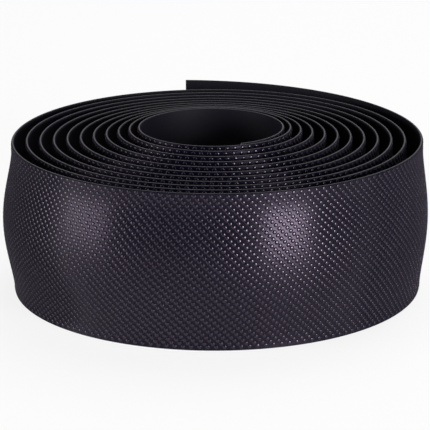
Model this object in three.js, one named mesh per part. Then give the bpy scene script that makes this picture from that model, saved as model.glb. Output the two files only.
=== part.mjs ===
// A roll of bicycle handlebar tape, standing on its long edge.
//
// It is one length of soft embossed foam tape, wound on itself round an open hole.
// The tape has a flat inner face, two thin flat selvages and a crown along the middle of
// its outer face. So the turns bear on each other at half height, and a V-shaped groove
// opens between their edges. The first turns are pulled tight and the inner end is pressed
// flat against the next turn. The core stands a little proud of the rest. The outermost
// turn is looser, and its end springs away from the roll.

import * as THREE from 'three';
import { toCreasedNormals } from 'three/addons/utils/BufferGeometryUtils.js';

// The tape's section, in millimetres
const TAPE_WIDTH = 30;
const EDGE_THICKNESS = 0.5;
const UPPER_SELVAGE = 2.4; // flat strip along the upper edge
const LOWER_SELVAGE = 1; // and along the lower edge, which the roll stands on
const CROWN_THICKNESS = 2.45; // at the top of the crown, where the tape is relaxed
const CROWN_FULLNESS = 1.4; // 2 is a plain wave, and less is fuller
const TIGHT_THICKNESS = 0.95; // of the crown, where the first turn is pulled tight
const END_THICKNESS = 1.5; // of the crown, at the cut of the outer end
const END_THINNING = THREE.MathUtils.degToRad( 280 ); // the arc over which the outer end thins

// The winding: turns are counted outwards from the tape's inner end
const HOLE_RADIUS = 13.2;
const TURNS = 11.456;
const INNER_END_ANGLE = THREE.MathUtils.degToRad( -67 );
const TURN_GAP = 0.22; // between one turn's crown and the next turn
const EASING_TURNS = 2; // the pull of the first turn falls to a third over these

// The core stands proud of the outer turns, which carry the roll
const CORE_LIFT = 2.1;
const LEVEL_TURNS = 1; // the core's own turns, level with each other
const LIFT_TURNS = 8.4; // the turns round the core over which the lift falls to nothing
const LIFT_POWER = 2;

// The inner end is pressed out against the next turn
const INNER_PRESS = 0.42;
const INNER_ARC = THREE.MathUtils.degToRad( 160 );

// The outermost turn lies loose and rides up a little
const LOOSE_GAP = 0.6;
const LOOSE_RISE = 0.25;
const LOOSE_ARC = THREE.MathUtils.degToRad( 300 ); // from where it comes loose to the outer end
const LOOSE_EASING = THREE.MathUtils.degToRad( 108 ); // the part of that arc in which it does

// The outer end springs away
const END_SPRING = 4.5;
const SPRING_ARC = THREE.MathUtils.degToRad( 77 );

// Facets
const STATIONS_PER_TURN = 40; // a whole number, so that the facets of all turns line up
const CROWN_STEPS = 6;
const CREASE_ANGLE = THREE.MathUtils.degToRad( 30 );

const FULL_TURN = 2 * Math.PI;
const UP = new THREE.Vector3( 0, 0, 1 );

// How much thinner than relaxed the tape's crown is after so many turns
function squeeze( turn ) {

	return ( CROWN_THICKNESS - TIGHT_THICKNESS ) * Math.exp( - turn / EASING_TURNS );

}

function endThinning( turn ) {

	const thinTurns = END_THINNING / FULL_TURN;
	return ( CROWN_THICKNESS - END_THICKNESS ) * THREE.MathUtils.smoothstep( turn, TURNS - thinTurns, TURNS );

}

// 1 at the inner end, easing to 0 over the arc in which it is pressed flat
function innerShare( turn ) {

	return Math.max( 1 - turn * FULL_TURN / INNER_ARC, 0 ) ** 2;

}

// 0 on the turns that are wound fast, easing to 1 where the tape is loose
function looseShare( turn ) {

	const from = TURNS - LOOSE_ARC / FULL_TURN;
	return THREE.MathUtils.smoothstep( turn, from, from + LOOSE_EASING / FULL_TURN );

}

function crownThickness( turn ) {

	return CROWN_THICKNESS - squeeze( turn ) - endThinning( turn ) - INNER_PRESS * innerShare( turn );

}

// Each turn lies one crown and one gap outside the last, so the radius is their sum
function windingRadius( turn ) {

	const relaxed = HOLE_RADIUS + turn * ( CROWN_THICKNESS + TURN_GAP );
	const takenUp = EASING_TURNS * ( squeeze( 0 ) - squeeze( turn ) );
	return relaxed - takenUp + INNER_PRESS * innerShare( turn ) + LOOSE_GAP * looseShare( turn );

}

function endSpring( turn ) {

	const springTurns = SPRING_ARC / FULL_TURN;
	const share = ( turn - ( TURNS - springTurns ) ) / springTurns;
	return END_SPRING * Math.max( share, 0 ) ** 2;

}

// How far the tape's lower edge stands above the edges that carry the roll
function edgeLift( turn ) {

	const share = THREE.MathUtils.clamp( 1 - ( turn - LEVEL_TURNS ) / LIFT_TURNS, 0, 1 );
	return CORE_LIFT * share ** LIFT_POWER + LOOSE_RISE * looseShare( turn );

}

// The lower edge of the tape's inner face, from the inner end to the outer end
class TapePath extends THREE.Curve {

	getPoint( t, target = new THREE.Vector3() ) {

		const turn = t * TURNS;
		const angle = INNER_END_ANGLE + turn * FULL_TURN;
		const radius = windingRadius( turn ) + endSpring( turn );
		return target.set( radius * Math.cos( angle ), radius * Math.sin( angle ), edgeLift( turn ) );

	}

}

// The tape cut across: x runs out from its inner face, y up from its lower edge
function tapeSection( crown ) {

	const crownWidth = TAPE_WIDTH - LOWER_SELVAGE - UPPER_SELVAGE;
	const rise = crown - EDGE_THICKNESS;
	const section = [ new THREE.Vector2( 0, 0 ), new THREE.Vector2( EDGE_THICKNESS, 0 ) ];
	for ( let step = 0; step <= CROWN_STEPS; step ++ ) {

		const share = step / CROWN_STEPS;
		const swell = Math.abs( Math.sin( share * Math.PI ) ) ** CROWN_FULLNESS;
		section.push( new THREE.Vector2( EDGE_THICKNESS + rise * swell, LOWER_SELVAGE + share * crownWidth ) );

	}

	section.push( new THREE.Vector2( EDGE_THICKNESS, TAPE_WIDTH ), new THREE.Vector2( 0, TAPE_WIDTH ) );
	return section;

}

// One section, set square across the path
function placeSection( path, turn ) {

	const foot = path.getPoint( turn / TURNS );
	const outwards = path.getTangent( turn / TURNS ).cross( UP ).normalize();
	return tapeSection( crownThickness( turn ) ).map(
		( point ) => foot.clone().addScaledVector( outwards, point.x ).addScaledVector( UP, point.y )
	);

}

// A closed skin over the sections, with a flat cut at both ends of the tape
function sweepTape() {

	const path = new TapePath();
	const steps = Math.ceil( TURNS * STATIONS_PER_TURN );
	const positions = [];
	for ( let step = 0; step <= steps; step ++ ) {

		const turn = Math.min( step / STATIONS_PER_TURN, TURNS );
		placeSection( path, turn ).forEach( ( corner ) => positions.push( ...corner ) );

	}

	const corners = tapeSection( CROWN_THICKNESS ).length;
	const index = [];
	for ( let step = 0; step < steps; step ++ ) {

		for ( let corner = 0; corner < corners; corner ++ ) {

			const next = ( corner + 1 ) % corners;
			const here = step * corners;
			const ahead = here + corners;
			index.push( here + corner, ahead + corner, ahead + next );
			index.push( here + corner, ahead + next, here + next );

		}

	}

	const last = steps * corners;
	const outline = tapeSection( CROWN_THICKNESS );
	for ( const [ a, b, c ] of THREE.ShapeUtils.triangulateShape( outline, [] ) ) {

		index.push( a, b, c );
		index.push( last + c, last + b, last + a );

	}

	const geometry = new THREE.BufferGeometry();
	geometry.setAttribute( 'position', new THREE.Float32BufferAttribute( positions, 3 ) );
	geometry.setIndex( index );
	return toCreasedNormals( geometry, CREASE_ANGLE );

}

// The origin is the middle of the footprint, on the surface that the roll stands on
function standOnOrigin( mesh ) {

	const box = new THREE.Box3().setFromObject( mesh );
	const middle = box.getCenter( new THREE.Vector3() );
	mesh.position.set( - middle.x, - middle.y, - box.min.z );
	return mesh;

}

const embossedFoam = new THREE.MeshStandardMaterial( { color: 0x232226, roughness: 0.55, metalness: 0 } );
const tapeRoll = new THREE.Mesh( sweepTape(), embossedFoam );
tapeRoll.name = 'tape_roll';

const part = new THREE.Group();
part.add( standOnOrigin( tapeRoll ) );

export default part;
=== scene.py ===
"""A roll of black embossed handlebar tape, standing on its edge on a pale floor.

The tape is one long flat block that a node tree winds into a spiral. Its outer face is
covered with small domed pips, and a second tree sets them on the tape where they show:
all over the outermost turn, and along both edges of the turns inside it.
"""

import math

import bpy
from mathutils import Matrix, Vector


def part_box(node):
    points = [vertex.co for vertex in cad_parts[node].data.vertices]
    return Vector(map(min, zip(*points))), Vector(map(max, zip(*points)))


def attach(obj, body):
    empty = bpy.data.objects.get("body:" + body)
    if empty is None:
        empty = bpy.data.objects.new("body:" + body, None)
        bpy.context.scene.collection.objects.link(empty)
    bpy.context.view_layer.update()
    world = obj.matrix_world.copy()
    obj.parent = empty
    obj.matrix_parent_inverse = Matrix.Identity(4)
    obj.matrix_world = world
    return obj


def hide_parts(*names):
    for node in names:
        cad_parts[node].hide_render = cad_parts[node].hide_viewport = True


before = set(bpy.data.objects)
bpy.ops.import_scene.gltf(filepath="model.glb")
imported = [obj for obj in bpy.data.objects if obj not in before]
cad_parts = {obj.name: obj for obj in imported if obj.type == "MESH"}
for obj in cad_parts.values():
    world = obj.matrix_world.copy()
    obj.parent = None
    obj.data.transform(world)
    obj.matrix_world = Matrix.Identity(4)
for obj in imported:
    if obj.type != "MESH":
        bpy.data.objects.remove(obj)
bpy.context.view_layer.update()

MM = 0.001
TAPE_NODE = "tape_roll"

# The tape's section, in metres
TAPE_WIDTH = 30 * MM
EDGE_THICKNESS = 0.5 * MM
UPPER_SELVAGE = 2.4 * MM
LOWER_SELVAGE = 1 * MM
CROWN_THICKNESS = 2.45 * MM
CROWN_FULLNESS = 1.4
TIGHT_THICKNESS = 0.95 * MM
END_THICKNESS = 1.5 * MM
END_THINNING_TURNS = 280 / 360
EDGE_ROUNDING = 0.13 * MM

# The winding, with turns counted outwards from the tape's inner end
HOLE_RADIUS = 13.2 * MM
TURNS = 11.456
INNER_END_ANGLE = math.radians(-67)
TURN_GAP = 0.22 * MM
EASING_TURNS = 2
CORE_LIFT = 2.1 * MM
LEVEL_TURNS = 1
LIFT_TURNS = 8.4
LIFT_POWER = 2
INNER_PRESS = 0.42 * MM
INNER_TURNS = 160 / 360
LOOSE_GAP = 0.6 * MM
LOOSE_RISE = 0.25 * MM
LOOSE_TURNS = 300 / 360
LOOSE_EASING = 108 / 360
END_SPRING = 4.5 * MM
SPRING_TURNS = 77 / 360

# Places on the tape, as the winding rule takes its height and its depth
LOWER_EDGE = 0.0
OUTER_FACE = 1.0

# How finely the tape is cut before it is wound
STATIONS_PER_TURN = 128
ROWS_ACROSS = 26
ROW_CROWDING = 0.9
SHARP_ANGLE = math.radians(30)

# The embossed pips, on a slanting lattice. The row shift is a share of the repeat
PIP_RADIUS = 0.46 * MM
PIP_TOP = 0.12 * MM
PIP_HEIGHT = 0.09 * MM
PIP_SINK = 0.02 * MM
PIP_FALL_POWER = 2.8
PIP_SIDES = 8
PIP_REPEAT = 1.53 * MM
PIP_ROW_STEP = 0.625 * MM
PIP_ROW_SHIFT = 0.405
PIP_MARGIN = 0.7 * MM
PIP_START_TURNS = 0.04
PIP_END_TURNS = 0.004
PIP_ROWS = 1 + round((TAPE_WIDTH - 2 * PIP_MARGIN) / PIP_ROW_STEP)
EDGE_BAND_ROWS = 4

# The polyurethane skin: the two colours that it drifts between, the roughness of its smooth and
# of its rough grain, how strongly it shines, and how far the fine lines that coating leaves
# along the tape draw that shine out across it
GROUND_SKIN = {
    "dark": "#050510",
    "pale": "#080813",
    "smooth": 0.25,
    "rough": 0.31,
    "shine": 0.2,
    "stretch": 0.65,
}
PIP_SKIN = {
    "dark": "#06060f",
    "pale": "#080812",
    "smooth": 0.21,
    "rough": 0.27,
    "shine": 0.5,
    "stretch": 0.0,
}
SKIN_TINT = "#f6e0ff"
COLOUR_DRIFT = 14 * MM

# The real skin's own grain is finer. It is drawn as coarse as it needs to be to show
SKIN_GRAIN = 0.16 * MM
GRAIN_DEPTH = 0.02 * MM

# The skin turns dull between these two shares of the way from face on, 0, to edge on, 1
GRAZING_FROM = 0.25
GRAZING_TO = 0.5
GRAZING_ROUGHNESS = 1.0

# The foam's cells, on the inner face of the tape and where it is slit
BACK_CELL = 0.3 * MM
SLIT_CELL = 0.25 * MM
CELL_DEPTH = 0.03 * MM

# Skin and foam are both plain polymers
POLYMER_IOR = 1.5

# The photograph's view. The sensor and the lens are in millimetres
VIEW_ELEVATION = math.radians(16.9)
VIEW_DISTANCE = 0.4545
VIEW_TARGET_HEIGHT = 15.2 * MM
VIEW_AIM_RIGHT = 0.47 * MM
VIEW_AIM_UP = -1.26 * MM
SENSOR_WIDTH = 36
LENS = 192
CLIP_START = 0.01

# Stage and light. Azimuth 0 is the camera's side, and 90 degrees is its right. A softbox is its
# name, azimuth and elevation in degrees, width, height and radiance
FLOOR_REACH = 3.0
FLOOR_WHITE_SHARE = 0.85
FILL_STRENGTH = 0.1
SOFTBOX_DISTANCE = 0.6
SOFTBOXES = (
    ("left softbox", -73, 8, 0.32, 0.22, 8.5),
    ("right softbox", 37, 8, 0.22, 0.21, 26.0),
    ("top softbox", 160, 60, 0.4, 0.4, 4.0),
)

FULL_TURN = 2 * math.pi
QUARTER_TURN_SHARE = 0.25


def linear(hex_colour):
    """An sRGB hex colour as linear RGBA, opaque."""
    channels = [int(hex_colour[i:i + 2], 16) / 255 for i in (1, 3, 5)]
    return (*(c / 12.92 if c <= 0.04045 else ((c + 0.055) / 1.055) ** 2.4 for c in channels), 1.0)


def add(tree, kind, settings=None, inputs=None):
    """Adds a node to a tree, with its settings and inputs.

    An input is given a plain value, a socket, or a node, which stands for its first output in use.
    """
    node = tree.nodes.new(kind)
    for name, value in (settings or {}).items():
        setattr(node, name, value)
    for place, value in (inputs or {}).items():
        if isinstance(value, bpy.types.Node):
            value = next(output for output in value.outputs if output.enabled)
        if isinstance(value, bpy.types.NodeSocket):
            tree.links.new(value, node.inputs[place])
        else:
            node.inputs[place].default_value = value
    return node


# Node trees

MATH = "ShaderNodeMath"
RANGE = "ShaderNodeMapRange"
VECTOR = "ShaderNodeVectorMath"

WINDING_SIZES = {
    "Tape width": TAPE_WIDTH,
    "Edge thickness": EDGE_THICKNESS,
    "Upper selvage": UPPER_SELVAGE,
    "Lower selvage": LOWER_SELVAGE,
    "Crown thickness": CROWN_THICKNESS,
    "Crown fullness": CROWN_FULLNESS,
    "Tight thickness": TIGHT_THICKNESS,
    "End thickness": END_THICKNESS,
    "End thinning turns": END_THINNING_TURNS,
    "Edge rounding": EDGE_ROUNDING,
    "Hole radius": HOLE_RADIUS,
    "Turns": TURNS,
    "Inner end angle": INNER_END_ANGLE,
    "Turn gap": TURN_GAP,
    "Easing turns": EASING_TURNS,
    "Core lift": CORE_LIFT,
    "Level turns": LEVEL_TURNS,
    "Lift turns": LIFT_TURNS,
    "Lift power": LIFT_POWER,
    "Inner press": INNER_PRESS,
    "Inner turns": INNER_TURNS,
    "Loose gap": LOOSE_GAP,
    "Loose rise": LOOSE_RISE,
    "Loose turns": LOOSE_TURNS,
    "Loose easing": LOOSE_EASING,
    "End spring": END_SPRING,
    "Spring turns": SPRING_TURNS,
}
PLACE_ON_TAPE = ("Turn", "Height", "Depth")
PIP_SIZES = {
    "Pip radius": PIP_RADIUS,
    "Pip top": PIP_TOP,
    "Pip height": PIP_HEIGHT,
    "Pip sink": PIP_SINK,
    "Pip fall power": PIP_FALL_POWER,
    "Pip repeat": PIP_REPEAT,
    "Row step": PIP_ROW_STEP,
    "Row shift": PIP_ROW_SHIFT,
    "Margin": PIP_MARGIN,
    "First turn": 0.0,
    "Last turn": TURNS,
    "First row": 0.0,
    "Number of rows": PIP_ROWS,
}


def new_tree(name, sizes, outputs):
    """A geometry node tree with a named input for each size.

    Returns the tree, the sockets that give its sizes and the sockets that take its outputs.
    """
    tree = bpy.data.node_groups.new(name, "GeometryNodeTree")
    for size, value in sizes.items():
        whole = isinstance(value, int) and size.startswith("Number of")
        kind = "NodeSocketInt" if whole else "NodeSocketFloat"
        tree.interface.new_socket(size, in_out="INPUT", socket_type=kind).default_value = value
    for output, kind in outputs.items():
        tree.interface.new_socket(output, in_out="OUTPUT", socket_type=kind)
    return tree, add(tree, "NodeGroupInput").outputs, add(tree, "NodeGroupOutput").inputs


def wind_rule():
    """Where a point of the tape goes, given its turn, its height on the tape and its depth.

    Depth is 0 on the inner face and 1 on the outer face. The rule also gives the outer face's normal
    there, the way along the tape, and the radius of the inner face.
    """
    places = dict.fromkeys(PLACE_ON_TAPE, 0.0)
    outputs = dict.fromkeys(("Position", "Normal", "Along"), "NodeSocketVector")
    outputs["Radius"] = "NodeSocketFloat"
    tree, size, out = new_tree("winding rule", {**places, **WINDING_SIZES}, outputs)
    turn = size["Turn"]

    # How far the first turns are pulled tight, and the radius that leaves
    waning = add(tree, MATH, {"operation": "DIVIDE"}, {0: turn, 1: size["Easing turns"]})
    waning = add(tree, MATH, {"operation": "MULTIPLY"}, {0: waning, 1: -1.0})
    pull = add(tree, MATH, {"operation": "EXPONENT"}, {0: waning})
    full_squeeze = add(tree, MATH, {"operation": "SUBTRACT"}, {
        0: size["Crown thickness"], 1: size["Tight thickness"]})
    squeeze = add(tree, MATH, {"operation": "MULTIPLY"}, {0: full_squeeze, 1: pull})
    eased = add(tree, MATH, {"operation": "SUBTRACT"}, {0: full_squeeze, 1: squeeze})
    taken_up = add(tree, MATH, {"operation": "MULTIPLY"}, {0: eased, 1: size["Easing turns"]})
    pitch = add(tree, MATH, {"operation": "ADD"}, {0: size["Crown thickness"], 1: size["Turn gap"]})
    relaxed = add(tree, MATH, {"operation": "MULTIPLY_ADD"}, {0: turn, 1: pitch, 2: size["Hole radius"]})
    tight = add(tree, MATH, {"operation": "SUBTRACT"}, {0: relaxed, 1: taken_up})

    # The inner end is pressed out against the next turn, and the outermost turn lies loose
    press_share = add(tree, RANGE, {}, {
        "Value": turn, "From Max": size["Inner turns"], "To Min": 1.0, "To Max": 0.0})
    press_share = add(tree, MATH, {"operation": "POWER"}, {0: press_share, 1: 2.0})
    press = add(tree, MATH, {"operation": "MULTIPLY"}, {0: press_share, 1: size["Inner press"]})
    loose_from = add(tree, MATH, {"operation": "SUBTRACT"}, {0: size["Turns"], 1: size["Loose turns"]})
    loose_to = add(tree, MATH, {"operation": "ADD"}, {0: loose_from, 1: size["Loose easing"]})
    loose_share = add(tree, RANGE, {"interpolation_type": "SMOOTHSTEP"}, {
        "Value": turn, "From Min": loose_from, "From Max": loose_to})
    pressed = add(tree, MATH, {"operation": "ADD"}, {0: tight, 1: press})
    wound = add(tree, MATH, {"operation": "MULTIPLY_ADD"}, {
        0: loose_share, 1: size["Loose gap"], 2: pressed})

    # The outer end springs away, and thins towards its cut
    spring_from = add(tree, MATH, {"operation": "SUBTRACT"}, {0: size["Turns"], 1: size["Spring turns"]})
    spring_share = add(tree, RANGE, {}, {
        "Value": turn, "From Min": spring_from, "From Max": size["Turns"]})
    spring_square = add(tree, MATH, {"operation": "POWER"}, {0: spring_share, 1: 2.0})
    radius = add(tree, MATH, {"operation": "MULTIPLY_ADD"}, {
        0: spring_square, 1: size["End spring"], 2: wound})
    thin_from = add(tree, MATH, {"operation": "SUBTRACT"}, {
        0: size["Turns"], 1: size["End thinning turns"]})
    thin_most = add(tree, MATH, {"operation": "SUBTRACT"}, {
        0: size["Crown thickness"], 1: size["End thickness"]})
    thinning = add(tree, RANGE, {"interpolation_type": "SMOOTHSTEP"}, {
        "Value": turn, "From Min": thin_from, "From Max": size["Turns"], "To Max": thin_most})
    squeezed = add(tree, MATH, {"operation": "SUBTRACT"}, {0: size["Crown thickness"], 1: squeeze})
    flattened = add(tree, MATH, {"operation": "SUBTRACT"}, {0: squeezed, 1: press})
    crown = add(tree, MATH, {"operation": "SUBTRACT"}, {0: flattened, 1: thinning})

    # The crown across the tape, between its two selvages
    crown_top = add(tree, MATH, {"operation": "SUBTRACT"}, {
        0: size["Tape width"], 1: size["Upper selvage"]})
    swing = add(tree, RANGE, {}, {
        "Value": size["Height"], "From Min": size["Lower selvage"], "From Max": crown_top,
        "To Max": math.pi})
    sine = add(tree, MATH, {"operation": "SINE"}, {0: swing})
    sine = add(tree, MATH, {"operation": "ABSOLUTE"}, {0: sine})
    swell = add(tree, MATH, {"operation": "POWER"}, {0: sine, 1: size["Crown fullness"]})
    rise = add(tree, MATH, {"operation": "SUBTRACT"}, {0: crown, 1: size["Edge thickness"]})
    thickness = add(tree, MATH, {"operation": "MULTIPLY_ADD"}, {
        0: swell, 1: rise, 2: size["Edge thickness"]})

    # The cut edges are a little rounded: the last bit of width is narrower through its depth
    below_top = add(tree, MATH, {"operation": "SUBTRACT"}, {0: size["Tape width"], 1: size["Height"]})
    from_edge = add(tree, MATH, {"operation": "MINIMUM"}, {0: below_top, 1: size["Height"]})
    rounded = add(tree, MATH, {"operation": "DIVIDE"}, {
        0: size["Edge rounding"], 1: size["Edge thickness"]})
    narrowest = add(tree, MATH, {"operation": "MULTIPLY_ADD"}, {0: rounded, 1: -2.0, 2: 1.0})
    narrowing = add(tree, RANGE, {}, {
        "Value": from_edge, "From Max": size["Edge rounding"], "To Min": narrowest})
    off_middle = add(tree, MATH, {"operation": "SUBTRACT"}, {0: size["Depth"], 1: 0.5})
    depth = add(tree, MATH, {"operation": "MULTIPLY_ADD"}, {0: off_middle, 1: narrowing, 2: 0.5})
    reach = add(tree, MATH, {"operation": "MULTIPLY_ADD"}, {0: depth, 1: thickness, 2: radius})

    # Round the axis, and up by the lift of the core
    angle = add(tree, MATH, {"operation": "MULTIPLY_ADD"}, {
        0: turn, 1: FULL_TURN, 2: size["Inner end angle"]})
    x = add(tree, MATH, {"operation": "COSINE"}, {0: angle})
    y = add(tree, MATH, {"operation": "SINE"}, {0: angle})
    back_y = add(tree, MATH, {"operation": "MULTIPLY"}, {0: y, 1: -1.0})
    outwards = add(tree, "ShaderNodeCombineXYZ", {}, {"X": x, "Y": y})
    along = add(tree, "ShaderNodeCombineXYZ", {}, {"X": back_y, "Y": x})
    lift_end = add(tree, MATH, {"operation": "ADD"}, {0: size["Level turns"], 1: size["Lift turns"]})
    lift_share = add(tree, RANGE, {}, {
        "Value": turn, "From Min": size["Level turns"], "From Max": lift_end,
        "To Min": 1.0, "To Max": 0.0})
    lift_curve = add(tree, MATH, {"operation": "POWER"}, {0: lift_share, 1: size["Lift power"]})
    lifted = add(tree, MATH, {"operation": "MULTIPLY_ADD"}, {
        0: lift_curve, 1: size["Core lift"], 2: size["Height"]})
    level = add(tree, MATH, {"operation": "MULTIPLY_ADD"}, {
        0: loose_share, 1: size["Loose rise"], 2: lifted})
    upwards = add(tree, "ShaderNodeCombineXYZ", {}, {"Z": level})
    position = add(tree, VECTOR, {"operation": "MULTIPLY_ADD"}, {0: outwards, 1: reach, 2: upwards})

    # The outer face leans with the slope of its crown
    crown_width = add(tree, MATH, {"operation": "SUBTRACT"}, {0: crown_top, 1: size["Lower selvage"]})
    steepness = add(tree, MATH, {"operation": "DIVIDE"}, {0: rise, 1: crown_width})
    steepness = add(tree, MATH, {"operation": "MULTIPLY"}, {0: steepness, 1: size["Crown fullness"]})
    less_full = add(tree, MATH, {"operation": "SUBTRACT"}, {0: size["Crown fullness"], 1: 1.0})
    shoulder = add(tree, MATH, {"operation": "POWER"}, {0: sine, 1: less_full})
    cosine = add(tree, MATH, {"operation": "COSINE"}, {0: swing})
    slope = add(tree, MATH, {"operation": "MULTIPLY"}, {0: shoulder, 1: cosine})
    slope = add(tree, MATH, {"operation": "MULTIPLY"}, {0: slope, 1: steepness})
    lean = add(tree, MATH, {"operation": "MULTIPLY"}, {0: slope, 1: -math.pi})
    lean_up = add(tree, "ShaderNodeCombineXYZ", {}, {"Z": lean})
    leaning = add(tree, VECTOR, {"operation": "ADD"}, {0: outwards, 1: lean_up})
    normal = add(tree, VECTOR, {"operation": "NORMALIZE"}, {0: leaning})

    for name, value in (("Position", position), ("Normal", normal), ("Along", along), ("Radius", radius)):
        tree.links.new(value.outputs[0], out[name])
    return tree


def place_by_rule(tree, rule, size, turn, height, depth):
    """The winding rule used in another tree, with that tree's own sizes."""
    given = {name: size[name] for name in WINDING_SIZES}
    given.update({"Turn": turn, "Height": height, "Depth": depth})
    return add(tree, "GeometryNodeGroup", {"node_tree": rule}, given).outputs


def tape_tree(rule, outer_face, inner_face, cut_edge):
    """A flat block of tape, cut into stations and rows, and wound up by the rule."""
    counts = {
        "Number of stations": round(TURNS * STATIONS_PER_TURN) + 1,
        "Number of rows": ROWS_ACROSS,
    }
    sizes = {**WINDING_SIZES, **counts, "Row crowding": ROW_CROWDING}
    tree, size, out = new_tree("wound tape", sizes, {"Geometry": "NodeSocketGeometry"})
    block = add(tree, "GeometryNodeMeshCube", {}, {
        "Size": (1, 1, 1), "Vertices X": size["Number of stations"], "Vertices Y": 2,
        "Vertices Z": size["Number of rows"]})

    # Which face is which is read off the block before it is wound
    flat_normal = add(tree, "ShaderNodeSeparateXYZ", {}, {0: add(tree, "GeometryNodeInputNormal")})
    is_inner = add(tree, "FunctionNodeCompare", {"operation": "GREATER_THAN"}, {
        0: flat_normal.outputs["Y"], 1: 0.5})
    is_outer = add(tree, "FunctionNodeCompare", {"operation": "LESS_THAN"}, {
        0: flat_normal.outputs["Y"], 1: -0.5})
    marked = block.outputs["Mesh"]
    marks = []
    for is_face in (is_inner, is_outer):
        capture = tree.nodes.new("GeometryNodeCaptureAttribute")
        capture.domain = "FACE"
        capture.capture_items.new("BOOLEAN", "Face")
        tree.links.new(marked, capture.inputs["Geometry"])
        tree.links.new(is_face.outputs[0], capture.inputs["Face"])
        marked = capture.outputs["Geometry"]
        marks.append(capture.outputs["Face"])

    place = add(tree, "ShaderNodeSeparateXYZ", {}, {0: add(tree, "GeometryNodeInputPosition")})
    turn_share = add(tree, MATH, {"operation": "ADD"}, {0: place.outputs["X"], 1: 0.5})
    turn = add(tree, MATH, {"operation": "MULTIPLY"}, {0: turn_share, 1: size["Turns"]})
    depth = add(tree, MATH, {"operation": "SUBTRACT"}, {0: 0.5, 1: place.outputs["Y"]})

    # Rows crowd towards the two edges, where the rounding needs them
    row_share = add(tree, MATH, {"operation": "ADD"}, {0: place.outputs["Z"], 1: 0.5})
    row_swing = add(tree, MATH, {"operation": "MULTIPLY"}, {0: row_share, 1: FULL_TURN})
    row_sine = add(tree, MATH, {"operation": "SINE"}, {0: row_swing})
    crowding = add(tree, MATH, {"operation": "DIVIDE"}, {0: size["Row crowding"], 1: -FULL_TURN})
    crowded = add(tree, MATH, {"operation": "MULTIPLY_ADD"}, {0: row_sine, 1: crowding, 2: row_share})
    height = add(tree, MATH, {"operation": "MULTIPLY"}, {0: crowded, 1: size["Tape width"]})

    ruled = place_by_rule(tree, rule, size, turn, height, depth)
    wound = add(tree, "GeometryNodeSetPosition", {}, {"Geometry": marked, "Position": ruled["Position"]})
    real = add(tree, "GeometryNodeRealizeInstances", {}, {"Geometry": wound})
    edged = add(tree, "GeometryNodeSetMaterial", {}, {"Geometry": real, "Material": cut_edge})
    backed = add(tree, "GeometryNodeSetMaterial", {}, {
        "Geometry": edged, "Selection": marks[0], "Material": inner_face})
    faced = add(tree, "GeometryNodeSetMaterial", {}, {
        "Geometry": backed, "Selection": marks[1], "Material": outer_face})
    tree.links.new(faced.outputs[0], out["Geometry"])
    return tree


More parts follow.
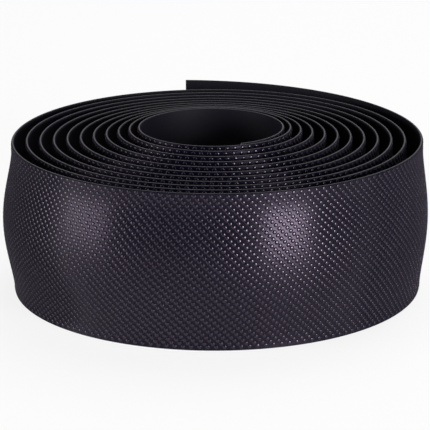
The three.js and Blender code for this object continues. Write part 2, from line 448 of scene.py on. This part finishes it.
def pips_tree(rule, outer_face, stations):
    """Domed pips on some rows of the lattice, along a stretch of the tape."""
    sizes = {**WINDING_SIZES, **PIP_SIZES, "Number of stations": stations}
    tree, size, out = new_tree("pips on the tape", sizes, {"Geometry": "NodeSocketGeometry"})

    # A guide along the lower edge, cut into steps of one repeat
    guide = add(tree, "GeometryNodeCurvePrimitiveLine")
    fine = add(tree, "GeometryNodeResampleCurve", {}, {
        "Curve": guide, "Count": size["Number of stations"]})
    along = add(tree, "GeometryNodeSplineParameter")
    guide_turn = add(tree, RANGE, {}, {
        "Value": along.outputs["Factor"], "To Min": size["First turn"], "To Max": size["Last turn"]})
    noted = add(tree, "GeometryNodeStoreNamedAttribute", {"data_type": "FLOAT", "domain": "POINT"}, {
        "Geometry": fine, "Name": "turn", "Value": guide_turn})
    guide_place = place_by_rule(tree, rule, size, guide_turn, LOWER_EDGE, OUTER_FACE)
    laid = add(tree, "GeometryNodeSetPosition", {}, {
        "Geometry": noted, "Position": guide_place["Position"]})
    stepped = add(tree, "GeometryNodeResampleCurve", {"mode": "LENGTH"}, {
        "Curve": laid, "Length": size["Pip repeat"]})
    columns = add(tree, "GeometryNodeDuplicateElements", {"domain": "POINT"}, {
        "Geometry": stepped, "Amount": size["Number of rows"]})

    # Each row up is shifted back along the tape by its share of the repeat
    row = add(tree, MATH, {"operation": "ADD"}, {
        0: columns.outputs["Duplicate Index"], 1: size["First row"]})
    height = add(tree, MATH, {"operation": "MULTIPLY_ADD"}, {
        0: row, 1: size["Row step"], 2: size["Margin"]})
    shift = add(tree, MATH, {"operation": "MULTIPLY"}, {0: row, 1: size["Row shift"]})
    shift = add(tree, MATH, {"operation": "FRACT"}, {0: shift})
    shift_length = add(tree, MATH, {"operation": "MULTIPLY"}, {0: shift, 1: size["Pip repeat"]})
    turn_here = add(tree, "GeometryNodeInputNamedAttribute", {"data_type": "FLOAT"}, {"Name": "turn"})
    at_guide = place_by_rule(tree, rule, size, turn_here, LOWER_EDGE, OUTER_FACE)
    round_trip = add(tree, MATH, {"operation": "MULTIPLY"}, {0: at_guide["Radius"], 1: FULL_TURN})
    shift_turns = add(tree, MATH, {"operation": "DIVIDE"}, {0: shift_length, 1: round_trip})
    turn = add(tree, MATH, {"operation": "SUBTRACT"}, {0: turn_here, 1: shift_turns})
    ruled = place_by_rule(tree, rule, size, turn, height, OUTER_FACE)
    spots = add(tree, "GeometryNodeSetPosition", {}, {"Geometry": columns, "Position": ruled["Position"]})

    # One pip: a blunt cone, bulged until it is nearly flat on top and steep at its sunken foot
    cone = add(tree, "GeometryNodeMeshCone", {"fill_type": "NGON"}, {
        "Vertices": PIP_SIDES, "Side Segments": 2, "Radius Top": size["Pip top"],
        "Radius Bottom": size["Pip radius"], "Depth": size["Pip height"]})
    on_cone = add(tree, "GeometryNodeInputPosition")
    flat = add(tree, VECTOR, {"operation": "MULTIPLY"}, {0: on_cone, 1: (1, 1, 0)})
    off_axis = add(tree, VECTOR, {"operation": "LENGTH"}, {0: flat})
    radius_share = add(tree, MATH, {"operation": "DIVIDE"}, {
        0: off_axis.outputs["Value"], 1: size["Pip radius"]})
    fall = add(tree, MATH, {"operation": "POWER"}, {0: radius_share, 1: size["Pip fall power"]})
    pip_depth = add(tree, MATH, {"operation": "ADD"}, {0: size["Pip height"], 1: size["Pip sink"]})
    pip_level = add(tree, MATH, {"operation": "MULTIPLY"}, {0: fall, 1: pip_depth})
    pip_level = add(tree, MATH, {"operation": "SUBTRACT"}, {0: size["Pip height"], 1: pip_level})
    upright = add(tree, "ShaderNodeCombineXYZ", {}, {"Z": pip_level})
    on_dome = add(tree, VECTOR, {"operation": "ADD"}, {0: flat, 1: upright})
    dome = add(tree, "GeometryNodeSetPosition", {}, {"Geometry": cone, "Position": on_dome})

    facing = add(tree, "FunctionNodeAlignRotationToVector", {"axis": "Z"}, {"Vector": ruled["Normal"]})
    turned = add(tree, "FunctionNodeAlignRotationToVector", {"axis": "X", "pivot_axis": "Z"}, {
        "Rotation": facing, "Vector": ruled["Along"]})
    set_down = add(tree, "GeometryNodeInstanceOnPoints", {}, {
        "Points": spots, "Instance": dome, "Rotation": turned})
    real = add(tree, "GeometryNodeRealizeInstances", {}, {"Geometry": set_down})
    finished = add(tree, "GeometryNodeSetMaterial", {}, {"Geometry": real, "Material": outer_face})
    tree.links.new(finished.outputs[0], out["Geometry"])
    return tree


# Materials

NOISE = "ShaderNodeTexNoise"
BUMP = "ShaderNodeBump"
MIX = "ShaderNodeMix"

# Noise seldom leaves the range between these two
NOISE_LOW = 0.3
NOISE_HIGH = 0.7

# A mix node's sockets for colours, which share their names with those for numbers
MIX_SHARE = 0
MIX_A = 6
MIX_B = 7
MIX_RESULT = 2


def new_material(name):
    """An empty node material, with its tree and its output node."""
    material = bpy.data.materials.new(name)
    material.use_nodes = True
    material.node_tree.nodes.clear()
    return material, material.node_tree, add(material.node_tree, "ShaderNodeOutputMaterial")


def embossed_polyurethane(name, dark, pale, smooth, rough, shine, stretch):
    """Foam with a polyurethane skin, coated on and embossed by a roller, near black and a little violet.

    It gives the eye a broad satin shine facing the light, drawn out across the tape, and dull, dark
    flanks.
    """
    material, tree, output = new_material(name)
    place = add(tree, "ShaderNodeTexCoord").outputs["Object"]
    drift = add(tree, NOISE, {}, {"Vector": place, "Scale": 1 / COLOUR_DRIFT, "Detail": 2.0})
    colour = add(tree, MIX, {"data_type": "RGBA"}, {
        MIX_SHARE: drift, MIX_A: linear(dark), MIX_B: linear(pale)})
    grain = add(tree, NOISE, {}, {"Vector": place, "Scale": 1 / SKIN_GRAIN, "Detail": 3.0})
    gloss = add(tree, RANGE, {}, {
        "Value": grain, "From Min": NOISE_LOW, "From Max": NOISE_HIGH, "To Min": smooth, "To Max": rough})
    bump = add(tree, BUMP, {}, {"Height": grain, "Strength": 0.25, "Distance": GRAIN_DEPTH})
    view = add(tree, "ShaderNodeLayerWeight", {}, {"Blend": 0.5})
    dulled = add(tree, RANGE, {"interpolation_type": "SMOOTHSTEP"}, {
        "Value": view.outputs["Facing"], "From Min": GRAZING_FROM, "From Max": GRAZING_TO,
        "To Min": gloss, "To Max": GRAZING_ROUGHNESS})
    along_tape = add(tree, "ShaderNodeTangent", {"direction_type": "RADIAL", "axis": "Z"})
    skin = add(tree, "ShaderNodeBsdfPrincipled", {"distribution": "GGX"}, {
        "Base Color": colour.outputs[MIX_RESULT], "Roughness": dulled, "Normal": bump, "IOR": POLYMER_IOR,
        "Specular IOR Level": shine, "Specular Tint": linear(SKIN_TINT),
        "Anisotropic": stretch, "Anisotropic Rotation": QUARTER_TURN_SHARE, "Tangent": along_tape})
    tree.links.new(skin.outputs[0], output.inputs["Surface"])
    return material


def foam_backing():
    """The inner side of the tape, which is not embossed: bare closed-cell foam.

    It gives the eye a dull and slightly uneven black.
    """
    material, tree, output = new_material("closed-cell foam backing")
    place = add(tree, "ShaderNodeTexCoord").outputs["Object"]
    cells = add(tree, "ShaderNodeTexVoronoi", {}, {"Vector": place, "Scale": 1 / BACK_CELL})
    colour = add(tree, MIX, {"data_type": "RGBA"}, {
        MIX_SHARE: cells, MIX_A: linear("#0c0b13"), MIX_B: linear("#100f1a")})
    bump = add(tree, BUMP, {}, {"Height": cells, "Strength": 0.3, "Distance": CELL_DEPTH})
    foam = add(tree, "ShaderNodeBsdfPrincipled", {}, {
        "Base Color": colour.outputs[MIX_RESULT], "Roughness": 0.62, "Normal": bump, "IOR": POLYMER_IOR,
        "Specular IOR Level": 0.15})
    tree.links.new(foam.outputs[0], output.inputs["Surface"])
    return material


def cut_foam():
    """The edges where the tape was slit, with the foam's cells cut open, dark grey and matt.

    It gives the eye a thin grey line round each turn.
    """
    material, tree, output = new_material("slit foam edge")
    place = add(tree, "ShaderNodeTexCoord").outputs["Object"]
    cells = add(tree, NOISE, {}, {"Vector": place, "Scale": 1 / SLIT_CELL, "Detail": 4.0})
    colour = add(tree, MIX, {"data_type": "RGBA"}, {
        MIX_SHARE: cells, MIX_A: linear("#49484b"), MIX_B: linear("#615f66")})
    bump = add(tree, BUMP, {}, {"Height": cells, "Strength": 0.4, "Distance": CELL_DEPTH})
    foam = add(tree, "ShaderNodeBsdfPrincipled", {}, {
        "Base Color": colour.outputs[MIX_RESULT], "Roughness": 0.8, "Normal": bump, "IOR": POLYMER_IOR,
        "Specular IOR Level": 0.2})
    tree.links.new(foam.outputs[0], output.inputs["Surface"])
    return material


def seen_directly(tree):
    """1 for what the camera sees, straight or by way of a mirror or glass, and 0 for other light."""
    rays = add(tree, "ShaderNodeLightPath").outputs
    reflected = add(tree, MATH, {"operation": "MAXIMUM"}, {
        0: rays["Is Glossy Ray"], 1: rays["Is Transmission Ray"]})
    return add(tree, MATH, {"operation": "MAXIMUM"}, {0: rays["Is Camera Ray"], 1: reflected})


def paper_floor():
    """White seamless paper, matt and without a grain that shows.

    It gives the eye plain white, and its share of real paper keeps the roll's shadow.
    """
    material, tree, output = new_material("seamless paper")
    paper = add(tree, "ShaderNodeBsdfDiffuse", {}, {"Color": linear("#f2f2f2")})
    white = add(tree, "ShaderNodeEmission", {}, {"Color": (1, 1, 1, 1), "Strength": 1.0})
    share = add(tree, MATH, {"operation": "MULTIPLY"}, {0: seen_directly(tree), 1: FLOOR_WHITE_SHARE})
    mixed = add(tree, "ShaderNodeMixShader", {}, {0: share, 1: paper, 2: white})
    tree.links.new(mixed.outputs[0], output.inputs["Surface"])
    return material


# Pieces

def grow(name, tree, values):
    """The mesh that a node tree makes, as a plain object whose place is in its mesh."""
    carrier = bpy.data.objects.new(name + " carrier", bpy.data.meshes.new(name + " carrier"))
    bpy.context.scene.collection.objects.link(carrier)
    modifier = carrier.modifiers.new("nodes", "NODES")
    modifier.node_group = tree
    for socket in tree.interface.items_tree:
        if socket.in_out == "INPUT" and socket.name in values:
            modifier[socket.identifier] = values[socket.name]
    carrier.update_tag()
    bpy.context.view_layer.update()
    evaluated = carrier.evaluated_get(bpy.context.evaluated_depsgraph_get())
    mesh = bpy.data.meshes.new_from_object(evaluated)
    carrier.modifiers.remove(modifier)
    bpy.data.objects.remove(carrier)
    mesh.name = name
    mesh.shade_smooth()
    piece = bpy.data.objects.new(name, mesh)
    bpy.context.scene.collection.objects.link(piece)
    return piece


def stand_where_cad_stands(pieces, guide):
    """Moves the pieces together, until the guide's footprint has its middle where the CAD node's is."""
    low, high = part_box(TAPE_NODE)
    corners = [Vector(corner) for corner in guide.bound_box]
    middle_x = (min(corner.x for corner in corners) + max(corner.x for corner in corners)) / 2
    middle_y = (min(corner.y for corner in corners) + max(corner.y for corner in corners)) / 2
    offset = Vector(((low.x + high.x) / 2 - middle_x, (low.y + high.y) / 2 - middle_y, 0))
    for piece in pieces:
        piece.data.transform(Matrix.Translation(offset))
        piece.data.update()
    return offset


def make_roll():
    """The tape and its pips, where the CAD part stands. Returns the foot of the winding's axis."""
    ground = embossed_polyurethane("polyurethane skin, embossed ground", **GROUND_SKIN)
    pip_skin = embossed_polyurethane("polyurethane skin, embossed pips", **PIP_SKIN)
    rule = wind_rule()
    tape = grow("tape", tape_tree(rule, ground, foam_backing(), cut_foam()), WINDING_SIZES)
    tape.data.set_sharp_from_angle(angle=SHARP_ANGLE)
    pips = pips_tree(rule, pip_skin, STATIONS_PER_TURN * round(TURNS))
    half = PIP_ROWS // 2
    bands = (
        ("outer_pips_low", TURNS - 1, TURNS - PIP_END_TURNS, 0, half),
        ("outer_pips_high", TURNS - 1, TURNS - PIP_END_TURNS, half, PIP_ROWS - half),
        ("inner_pips_low", PIP_START_TURNS, TURNS - 1, 0, EDGE_BAND_ROWS),
        ("inner_pips_high", PIP_START_TURNS, TURNS - 1, PIP_ROWS - EDGE_BAND_ROWS, EDGE_BAND_ROWS),
    )
    roll = [tape]
    for name, first_turn, last_turn, first_row, rows in bands:
        roll.append(grow(name, pips, {
            "First turn": first_turn,
            "Last turn": last_turn,
            "First row": float(first_row),
            "Number of rows": rows,
        }))
    axis = stand_where_cad_stands(roll, tape)
    for piece in roll:
        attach(piece, "root")
    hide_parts(TAPE_NODE)
    return axis


# Stage, light and camera

def make_floor():
    """A wide sheet of paper under the roll, which is stage and not part of it."""
    mesh = bpy.data.meshes.new("floor")
    corners = [(x * FLOOR_REACH, y * FLOOR_REACH, 0) for x, y in ((-1, -1), (1, -1), (1, 1), (-1, 1))]
    mesh.from_pydata(corners, [], [(0, 1, 2, 3)])
    mesh.materials.append(paper_floor())
    floor = bpy.data.objects.new("floor", mesh)
    bpy.context.scene.collection.objects.link(floor)


def make_world():
    """An even white fill, weak beside the lamps."""
    world = bpy.data.worlds.new("studio")
    world.use_nodes = True
    tree = world.node_tree
    tree.nodes.clear()
    fill = add(tree, "ShaderNodeBackground", {}, {"Color": (1, 1, 1, 1), "Strength": FILL_STRENGTH})
    add(tree, "ShaderNodeOutputWorld", {}, {"Surface": fill})
    bpy.context.scene.world = world


def softbox(axis, name, azimuth, elevation, width, height, radiance):
    """A soft lamp that faces the middle of the roll."""
    light = bpy.data.lights.new(name, "AREA")
    light.shape = "RECTANGLE"
    light.size = width
    light.size_y = height
    # Cycles takes a lamp's radiance as its power over four times its area
    light.energy = 4 * width * height * radiance
    lamp = bpy.data.objects.new(name, light)
    bpy.context.scene.collection.objects.link(lamp)
    aside = math.radians(azimuth)
    above = math.radians(elevation)
    way = Vector((math.sin(aside) * math.cos(above), -math.cos(aside) * math.cos(above), math.sin(above)))
    lamp.location = axis + Vector((0, 0, TAPE_WIDTH / 2)) + way * SOFTBOX_DISTANCE
    lamp.rotation_euler = (-way).to_track_quat("-Z", "Y").to_euler()


def make_camera(axis):
    """The photograph's view, through a long lens from a little above."""
    camera = bpy.data.cameras.new("camera")
    camera.sensor_width = SENSOR_WIDTH
    camera.lens = LENS
    camera.clip_start = CLIP_START
    holder = bpy.data.objects.new("camera", camera)
    bpy.context.scene.collection.objects.link(holder)
    target = axis + Vector((0, 0, VIEW_TARGET_HEIGHT))
    way = Vector((0, -math.cos(VIEW_ELEVATION), math.sin(VIEW_ELEVATION)))
    up = Vector((0, math.sin(VIEW_ELEVATION), math.cos(VIEW_ELEVATION)))
    holder.location = target + way * VIEW_DISTANCE
    aim = target + Vector((VIEW_AIM_RIGHT, 0, 0)) + up * VIEW_AIM_UP
    holder.rotation_euler = (aim - holder.location).to_track_quat("-Z", "Y").to_euler()
    bpy.context.scene.camera = holder


axis = make_roll()
make_floor()
make_world()
for box in SOFTBOXES:
    softbox(axis, *box)
make_camera(axis)
bpy.context.scene.view_settings.view_transform = "Standard"
